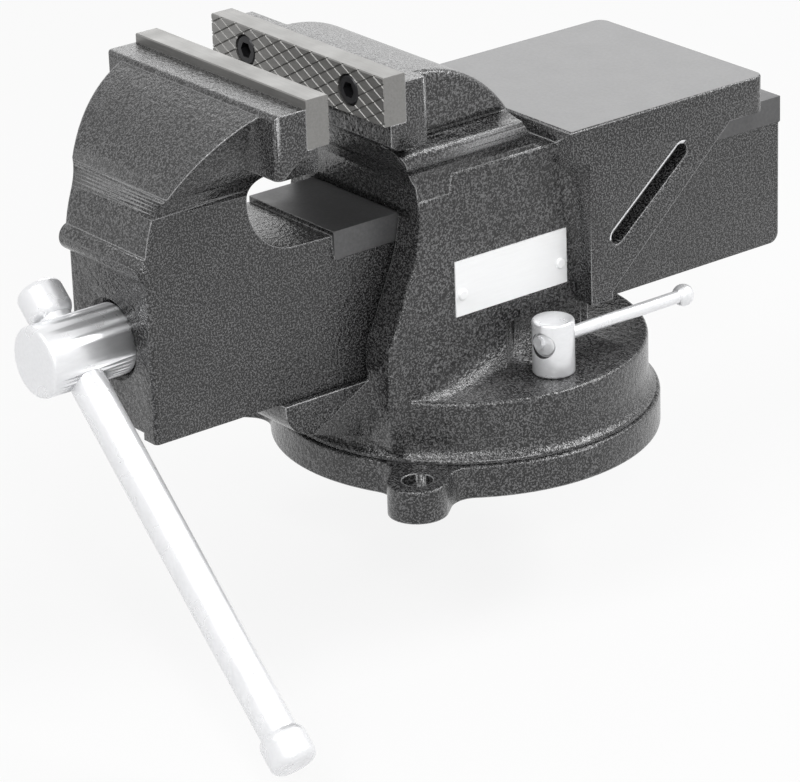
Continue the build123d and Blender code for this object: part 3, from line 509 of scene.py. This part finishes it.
def finishes():
    """Every finish of the vise, made once and kept by name."""
    if FINISHES:
        return FINISHES
    steel = bpy.context.scene.vise_steel
    FINISHES["enamel"] = hammered_enamel(bpy.context.scene.vise_enamel)
    FINISHES["plate"] = lined_steel(
        "milled_plate", steel.ground, LINES_ALONG_X, roughness=0.42, bump=0.25, metallic=0.75)
    FINISHES["machined"] = lined_steel(
        "machined_iron", steel.machined, LINES_EVEN, roughness=0.5, bump=0.12, metallic=0.5,
        wear=0.06, uneven=0.03)
    FINISHES["scraped"] = lined_steel(
        "scraped_iron", steel.scraped, LINES_EVEN, roughness=0.5, bump=0.2, metallic=0.6, wear=0.14)
    # Painted highlight: the bright steel colour laid on one side of the slot's rim
    FINISHES["rim"] = lined_steel(
        "bare_rim", steel.bright, (400, 400, 400), roughness=0.45, bump=0.1, metallic=0.2, wear=0.1)
    FINISHES["turned"] = lined_steel(
        "turned_zinc", steel.bright, LINES_TURNED, roughness=0.3, bump=0.06, metallic=0.55,
        wear=0.04)
    FINISHES["drawn"] = lined_steel(
        "drawn_zinc", steel.bright, LINES_ALONG_BAR, roughness=0.28, bump=0.0, metallic=0.5,
        wear=0.03)
    # Blacked steel for the screws, bolts and spring, and a painted shade on the clamp nuts' bore
    # walls
    FINISHES["blacked_and_bore_shade"] = lined_steel(
        "blacked_steel", steel.blacked_and_bore_shade, (600, 600, 600), roughness=0.35, bump=0.2, metallic=0.5)
    FINISHES["rough"] = lined_steel(
        "rough_iron", steel.rough, (300, 300, 300), roughness=0.6, bump=0.5, metallic=0.5)
    FINISHES["bare"] = lined_steel(
        "bare_aluminium", steel.plate, LINES_ALONG_Y, roughness=0.45, bump=0.05, metallic=0.15,
        wear=0.02)
    return FINISHES


# Castings

def paint_faces(piece, place, test):
    """Gives the faces that pass the test the material in this place."""
    pick_faces(piece, test)
    piece.active_material_index = place
    bpy.ops.object.material_slot_assign()
    bpy.ops.object.mode_set(mode="OBJECT")


def paint_casting(piece, bare):
    """Enamel all over, and each finish in bare on the faces that pass its test."""
    materials = finishes()
    piece.data.materials.append(materials["enamel"])
    for place, (finish, test) in enumerate(bare.items(), start=1):
        piece.data.materials.append(materials[finish])
        paint_faces(piece, place, test)


def rod(name, place, toward, radius, length, sides=64):
    """A plain round bar from a place along a direction, ready to be shaped."""
    deselect()
    way = Vector(toward).normalized()
    turn = way.to_track_quat("Z", "Y").to_euler()
    bpy.ops.mesh.primitive_cylinder_add(vertices=sides, radius=radius, depth=length,
                                        location=Vector(place) + way * length / 2, rotation=turn)
    piece = bpy.context.object
    piece.name = name
    return piece


def cut_away(piece, cutter):
    """Takes one piece's volume out of another and drops the cutter."""
    apply_modifier(piece, "BOOLEAN", operation="DIFFERENCE", object=cutter, solver="EXACT")
    bpy.data.objects.remove(cutter)


def press_in(piece, test, thickness, depth):
    """Insets the faces that pass the test and moves the inner ones along their normal."""
    pick_faces(piece, test)
    bpy.ops.mesh.inset(thickness=thickness, depth=depth)
    bpy.ops.object.mode_set(mode="OBJECT")


def round_off(piece, width, segments=3):
    """Rounds the sharp edges of a piece."""
    apply_modifier(piece, "BEVEL", width=width, segments=segments, limit_method="ANGLE",
                   angle_limit=SHARP)


def slot_cutter(side, slot):
    """A flared solid that chamfers the outer rim of a wall's slanting slot."""
    way = Vector((side, 0, 0))
    middle = Vector((side * slot.wall, slot.centre[0], slot.centre[1]))
    along = Vector((0, math.cos(slot.tilt), math.sin(slot.tilt)))
    cutter = rod("slot_cutter", middle - way * slot.chamfer, way, slot.width / 2,
                 slot.chamfer + CUTTER_PROUD, CUTTER_SIDES)
    bpy.ops.object.mode_set(mode="EDIT")
    flare = (slot.width / 2 + slot.rim) / (slot.width / 2)
    reach = (slot.length - slot.width) / 2
    net = bmesh.from_edit_mesh(cutter.data)
    world = cutter.matrix_world
    for vert in net.verts:
        place = world @ vert.co
        if (place - middle).dot(way) > 0:
            place = middle + (place - middle) * flare
        place += along * (reach if (place - middle).dot(along) > 0 else -reach)
        vert.co = world.inverted() @ place
    bmesh.update_edit_mesh(cutter.data)
    bpy.ops.object.mode_set(mode="OBJECT")
    return cutter


def casting(node, name, body, bare, cutters=()):
    """A casting with smooth curves, and chamfers where the cutters reach."""
    piece = copy_of(node, name)
    for cutter in cutters:
        cut_away(piece, cutter)
    smooth(piece)
    apply_modifier(piece, "WEIGHTED_NORMAL", mode="FACE_AREA", weight=50, keep_sharp=True)
    paint_casting(piece, bare)
    finish_piece(piece, body, "casting", node)


class VISE_OT_castings(Operator):
    """Model the base, the body and the movable jaw"""
    bl_idname = "vise.castings"
    bl_label = "Castings"

    def execute(self, context):
        slot = context.scene.vise_slot
        down = Vector((0, math.sin(slot.tilt), -math.cos(slot.tilt)))

        def anvil_top(at, out):
            return out.z > UPWARD and at.y > ANVIL_FRONT and abs(at.z - ANVIL_TOP) < LEVEL

        # Painted highlight: the rim faces on one side of the slot, which look down across it
        def slot_rim_highlight(at, out):
            spot = Vector((at.y - slot.centre[0], at.z - slot.centre[1]))
            return (slot.wall - slot.chamfer < abs(at.x) < slot.wall
                    and spot.length < slot.length / 2 + HIGHLIGHT_REACH
                    and HIGHLIGHT_SLANT[0] < out.dot(down) < HIGHLIGHT_SLANT[1])

        def slide_flange(at, out):
            return (at.y > FLANGE_FRONT and at.z > FLANGE_FOOT
                    and (at.z > FLANGE_TOP or abs(at.x) > FLANGE_SIDE))

        casting("swivel_base", "cast_base", "base", {})
        # The slot's rim faces that look down across it get a painted highlight
        casting("vise_body", "cast_body", "body", {"machined": anvil_top, "rim": slot_rim_highlight},
                [slot_cutter(side, slot) for side in (1, -1)])
        casting("movable_jaw", "cast_jaw", "moving_jaw", {"scraped": slide_flange})
        return {"FINISHED"}


class VISE_OT_lock_nuts(Operator):
    """Model the two clamp nuts with their cross pins"""
    bl_idname = "vise.lock_nuts"
    bl_label = "Clamp nuts"

    def execute(self, context):
        lock = context.scene.vise_lock
        for word in ("right", "left"):
            low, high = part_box(f"lock_nut_{word}")
            foot = Vector(((low.x + high.x) / 2, (low.y + high.y) / 2, low.z))
            turned = lock.pin_turn if word == "right" else math.pi - lock.pin_turn
            way = Vector((math.cos(turned), math.sin(turned), 0))
            seat = Vector((foot.x, foot.y, lock.pin_height))

            def nut_top(at, out):
                return out.z > FACING

            def nut_middle(at, out):
                return out.z > FACING and (at - foot).to_2d().length < NUT_MIDDLE

            def pin_end(at, out):
                return out.dot(way) > FACING

            # Painted shade: the bore's walls round the pin, coloured black for the shade in the gap
            def bore_wall_shade(at, out):
                reach = at - seat
                across = reach - way * reach.dot(way)
                return (abs(out.dot(way)) < BORE_SHADE_SLANT and out.dot(across) < 0 < reach.dot(way)
                        and across.length < lock.pin_radius + BORE_SHADE_REACH)

            nut = rod(f"turned_nut_{word}", foot, (0, 0, 1), (high.x - low.x) / 2, high.z - low.z,
                      NUT_SIDES)
            round_off(nut, lock.rounding, segments=5)
            press_in(nut, nut_top, lock.rim, 0)
            press_in(nut, nut_middle, lock.recess, -lock.recess)
            bore = rod("bore", seat + way * lock.pin_depth, way, lock.pin_radius + lock.pin_play,
                       BORE_LENGTH)
            cut_away(nut, bore)
            smooth(nut, degrees=25)
            finish_piece(nut, f"lock_{word}", "bright_steel", f"lock_nut_{word}")
            pin = rod(f"cross_pin_{word}", seat, way, lock.pin_radius, lock.pin_depth + lock.recess)
            round_off(pin, lock.recess)
            press_in(pin, pin_end, lock.pin_rim, -lock.pin_hollow)
            smooth(pin, degrees=25)
            finish_piece(pin, f"lock_{word}", "bright_steel")
            for piece in (nut, pin):
                piece.data.materials.append(finishes()["turned"])
            # Painted shade: the bore's walls take the blacked steel
            nut.data.materials.append(finishes()["blacked_and_bore_shade"])
            paint_faces(nut, 1, bore_wall_shade)
        return {"FINISHED"}


def cut_off(piece, place, away):
    """Cuts a closed piece flat and drops the side that a direction points to."""
    pick_all(piece)
    bpy.ops.mesh.bisect(plane_co=place, plane_no=away, use_fill=True, clear_outer=True,
                        threshold=MERGE / 10)
    bpy.ops.object.mode_set(mode="OBJECT")


class VISE_OT_spindle(Operator):
    """Model the spindle with its trapezoidal thread"""
    bl_idname = "vise.spindle"
    bl_label = "Spindle"

    def execute(self, context):
        cut = context.scene.vise_thread
        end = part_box("spindle")[1].y
        front = copy_of("spindle", "spindle_head")
        cut_off(front, (0, cut.start, SPINDLE_Z), (0, 1, 0))
        smooth(front, degrees=30)
        front.data.materials.append(finishes()["turned"])
        finish_piece(front, "screw", "bright_steel", "spindle")
        stop = end - cut.tip
        turns = math.ceil((stop - cut.start) / cut.pitch) + 2
        deselect()
        bpy.ops.mesh.primitive_plane_add(size=MM, location=(0, 0, 0))
        thread = context.object
        thread.name = "spindle_thread"
        bpy.ops.object.mode_set(mode="EDIT")
        bpy.ops.mesh.select_mode(type="VERT")
        bpy.ops.mesh.select_all(action="SELECT")
        bpy.ops.mesh.merge(type="CENTER")
        bpy.ops.transform.translate(value=(cut.radius - cut.depth, 0, 0))
        flank, crest = FLANK * cut.pitch, CREST * cut.pitch
        root = cut.pitch - 2 * flank - crest
        for out, along in ((cut.depth, flank), (0, crest), (-cut.depth, flank), (0, root)):
            bpy.ops.mesh.extrude_region_move(TRANSFORM_OT_translate={"value": (out, 0, along)})
        bpy.ops.object.mode_set(mode="OBJECT")
        apply_modifier(thread, "SCREW", axis="Z", angle=math.tau, screw_offset=cut.pitch,
                       iterations=turns, steps=cut.steps, render_steps=cut.steps,
                       use_merge_vertices=True, merge_threshold=MERGE)
        thread.rotation_euler = (-math.pi / 2, 0, 0)
        thread.location = (0, cut.start - cut.pitch, SPINDLE_Z)
        take_up(thread)
        bpy.ops.object.transform_apply(location=True, rotation=True, scale=True)
        pick_all(thread)
        bpy.ops.mesh.remove_doubles(threshold=MERGE)
        cut_off(thread, (0, cut.start, SPINDLE_Z), (0, -1, 0))
        cut_off(thread, (0, stop, SPINDLE_Z), (0, 1, 0))
        pick_all(thread)
        bpy.ops.mesh.normals_make_consistent(inside=False)
        bpy.ops.object.mode_set(mode="OBJECT")
        if len(thread.data.polygons) < turns * cut.steps:
            raise RuntimeError("the thread has no faces")
        smooth(thread, degrees=30)
        tip = rod("spindle_tip", (0, stop, SPINDLE_Z), (0, 1, 0), cut.radius - cut.depth, cut.tip)
        round_off(tip, cut.rounding)
        smooth(tip)
        for piece in (thread, tip):
            piece.data.materials.append(finishes()["turned"])
            finish_piece(piece, "screw", "bright_steel")
        return {"FINISHED"}


class VISE_OT_steel(Operator):
    """Finish the steel pieces"""
    bl_idname = "vise.steel"
    bl_label = "Steel pieces"

    def execute(self, context):
        materials = finishes()
        table = {
            "plate": ("fixed_jaw_plate", "movable_jaw_plate"),
            "blacked_and_bore_shade": ("fixed_jaw_screws", "movable_jaw_screws", "nut_bolts", "jaw_spring"),
            "turned": ("thrust_washers", "split_pin", "lock_bolts", "lock_bar_right",
                       "lock_knob_right", "lock_bar_left", "lock_knob_left"),
            "drawn": ("handle_bar", "handle_stop", "handle_end"),
            "rough": ("spindle_nut",),
            "bare": ("nameplate", "nameplate_rivets"),
        }
        for finish, nodes in table.items():
            for node in nodes:
                dress(node, materials[finish])
        return {"FINISHED"}


# Studio

def area_lamp(name, place, size, power):
    """A soft rectangular lamp that looks at the vise."""
    lamp = bpy.data.lights.new(name, "AREA")
    lamp.shape = "RECTANGLE"
    lamp.size, lamp.size_y = size
    lamp.energy = power
    holder = bpy.data.objects.new(name, lamp)
    holder.location = place
    holder.rotation_euler = (LAMP_TARGET - Vector(place)).to_track_quat("-Z", "Y").to_euler()
    bpy.context.scene.collection.objects.link(holder)


class VISE_OT_stage(Operator):
    """Set up the floor, the lamps and the camera"""
    bl_idname = "vise.stage"
    bl_label = "Studio"

    def execute(self, context):
        stage = context.scene.vise_stage
        low, _ = cad_box
        deselect()
        level = low[2] - stage.floor_drop
        bpy.ops.mesh.primitive_plane_add(size=FLOOR_SIZE, location=(0, 0, level))
        floor = context.object
        floor.name = "floor"
        material, tree, surface = blank_material("pale_floor")
        surface.inputs["Base Color"].default_value = rgba(stage.floor_colour)
        surface.inputs["Roughness"].default_value = 1.0
        surface.inputs["Specular IOR Level"].default_value = 0.0
        white = add(tree, "ShaderNodeEmission", Color=(1, 1, 1, 1), Strength=1.0)
        share = add(tree, "ShaderNodeMath", {"operation": "MULTIPLY"})
        feed(tree, share.inputs[0], shown_rays(tree))
        feed(tree, share.inputs[1], stage.floor_white)
        mixed = add(tree, "ShaderNodeMixShader", Fac=share.outputs[0])
        tree.links.new(surface.outputs["BSDF"], mixed.inputs[1])
        tree.links.new(white.outputs["Emission"], mixed.inputs[2])
        tree.links.new(mixed.outputs["Shader"], tree.nodes["Material Output"].inputs["Surface"])
        floor.data.materials.append(material)
        world = bpy.data.worlds.new("studio")
        context.scene.world = world
        world.use_nodes = True
        sky = world.node_tree
        air = sky.nodes["Background"]
        air.inputs["Color"].default_value = (1, 1, 1, 1)
        strength = add(sky, "ShaderNodeMapRange", Value=shown_rays(sky), To_Min=stage.air,
                       To_Max=1.0)
        sky.links.new(strength.outputs["Result"], air.inputs["Strength"])
        for name, (place, size) in LAMPS.items():
            area_lamp(name, place, size, getattr(stage, f"{name}_power"))
        camera = bpy.data.cameras.new("camera")
        camera.sensor_width = SENSOR_WIDTH
        camera.lens = stage.lens
        camera.clip_end = CLIP_END
        holder = bpy.data.objects.new("camera", camera)
        turn = Matrix.Rotation(stage.azimuth, 4, "Z")
        look_down = Matrix.Rotation(math.pi / 2 - stage.elevation, 4, "X")
        roll = Matrix.Rotation(stage.roll, 4, "Z")
        holder.matrix_world = Matrix.Translation(stage.eye) @ turn @ look_down @ roll
        context.scene.collection.objects.link(holder)
        context.scene.camera = holder
        context.scene.view_settings.view_transform = "Standard"
        return {"FINISHED"}


class VISE_PT_sidebar(Panel):
    """Lists the steps in the 3D view's sidebar"""
    bl_label = "Bench Vise"
    bl_idname = "VISE_PT_sidebar"
    bl_space_type = "VIEW_3D"
    bl_region_type = "UI"
    bl_category = "Vise"

    def draw(self, context):
        for step in STEPS:
            self.layout.operator(step.bl_idname)


SETTINGS = {
    "vise_stage": ViseStage, "vise_enamel": ViseEnamel, "vise_steel": ViseSteel,
    "vise_slot": ViseSlot, "vise_lock": ViseLock, "vise_thread": ViseThread,
}
STEPS = (VISE_OT_stage, VISE_OT_castings, VISE_OT_lock_nuts, VISE_OT_spindle, VISE_OT_steel)


def register():
    for kind in (*SETTINGS.values(), *STEPS, VISE_PT_sidebar):
        bpy.utils.register_class(kind)
    for name, kind in SETTINGS.items():
        setattr(bpy.types.Scene, name, PointerProperty(type=kind))


def unregister():
    for name in SETTINGS:
        delattr(bpy.types.Scene, name)
    for kind in (VISE_PT_sidebar, *reversed(STEPS), *SETTINGS.values()):
        bpy.utils.unregister_class(kind)


def main():
    register()
    bpy.ops.vise.stage()
    bpy.ops.vise.castings()
    bpy.ops.vise.lock_nuts()
    bpy.ops.vise.spindle()
    bpy.ops.vise.steel()


if __name__ == "__main__":
    main()
